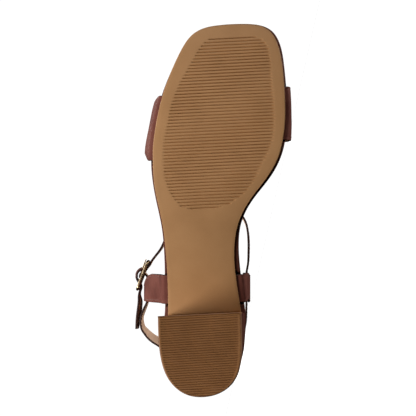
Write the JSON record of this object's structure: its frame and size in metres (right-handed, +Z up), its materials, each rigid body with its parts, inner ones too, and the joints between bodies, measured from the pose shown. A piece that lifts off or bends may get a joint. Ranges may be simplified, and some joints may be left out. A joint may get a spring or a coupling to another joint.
{
  "type": "block heel sandal",
  "caption": "Women's open-toe sandal with a low block heel, a wide toe strap and a buckled ankle strap held by side tabs, lying on its inner side.",
  "frame": {"origin": "middle of the box of the shoe as it lies, at floor level", "axes": "+X along the floor towards the toe, +Z up from the floor, +Y from the sole's underside to the straps"},
  "size_m": [0.2542, 0.1102, 0.0966],
  "materials": {
    "strap_leather": "smooth brown leather, satin",
    "wrap_leather": "smooth dark brown leather, satin",
    "heel_core": "leather-covered block, satin",
    "lining_leather": "pale tan lining, matt",
    "outsole_tan": "tan ribbed sheet, satin",
    "lift_rubber": "brown ribbed rubber, satin",
    "buckle_gold": "pale gold plate, polished"
  },
  "bodies": {
    "root": {"outsole": "outsole_tan", "footbed": "wrap_leather", "sock_lining": "lining_leather", "heel_block": "heel_core", "top_lift": "lift_rubber", "vamp_strap": "strap_leather", "tab_lateral": "strap_leather", "tab_medial": "strap_leather", "ankle_strap": "strap_leather", "buckle_frame": "buckle_gold", "buckle_prong": "buckle_gold"}
  },
  "joints": []
}
